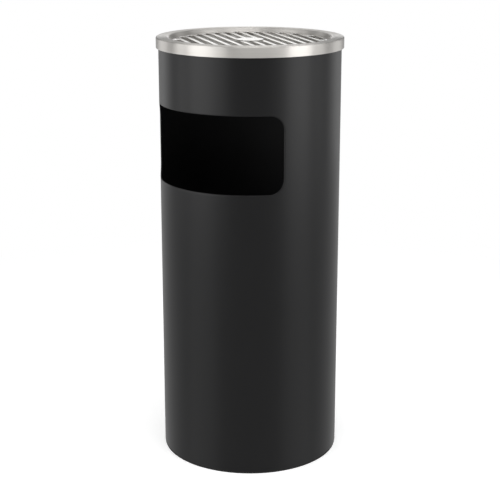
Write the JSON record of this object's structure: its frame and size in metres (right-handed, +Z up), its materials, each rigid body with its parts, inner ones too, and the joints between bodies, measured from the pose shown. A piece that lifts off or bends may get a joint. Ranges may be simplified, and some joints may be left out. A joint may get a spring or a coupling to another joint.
{
  "type": "ashtray bin",
  "caption": "Tall round floor bin with a side opening for litter, a lift-off ash tray with a slotted grate on top, and a lift-out pail with a folding bail inside.",
  "frame": {"origin": "on the floor, at the centre of the round base", "axes": "+Z up along the tube's axis; the side opening faces -Y; the pail's bail folds to the back, +Y"},
  "size_m": [0.2564, 0.2564, 0.59],
  "materials": {
    "powder_coat": "black semi-matt powder coat",
    "stainless": "satin stainless steel, brushed round the axis",
    "galvanised": "hot-dip galvanised sheet and wire with a faint spangle",
    "rubber": "black rubber"
  },
  "bodies": {
    "bin": {"body_shell": "powder_coat", "base_pan": "powder_coat", "base_ring": "rubber"},
    "pail": {"liner_wall": "galvanised", "liner_base": "galvanised", "rim_wire": "galvanised", "ear_left": "galvanised", "ear_right": "galvanised", "ear_rivet_1": "galvanised", "ear_rivet_2": "galvanised", "ear_rivet_3": "galvanised", "ear_rivet_4": "galvanised"},
    "handle": {"bail": "galvanised"},
    "tray": {"ash_bowl": "stainless"},
    "grate": {"ash_grate": "stainless", "stub_disc": "stainless"}
  },
  "joints": [
    {"name": "pail_lift", "type": "slide", "parent": "bin", "child": "pail", "axis": [0, 0, 1], "range_m": [0, 0.6]},
    {"name": "bail_swing", "type": "hinge", "parent": "pail", "child": "handle", "pos_m": [0, 0, 0.31365], "axis": [1, 0, 0], "range_deg": [0, 180]},
    {"name": "tray_lift", "type": "slide", "parent": "pail", "child": "tray", "axis": [0, 0, 1], "range_m": [0, 0.15]},
    {"name": "grate_lift", "type": "slide", "parent": "tray", "child": "grate", "axis": [0, 0, 1], "range_m": [0, 0.06]}
  ]
}
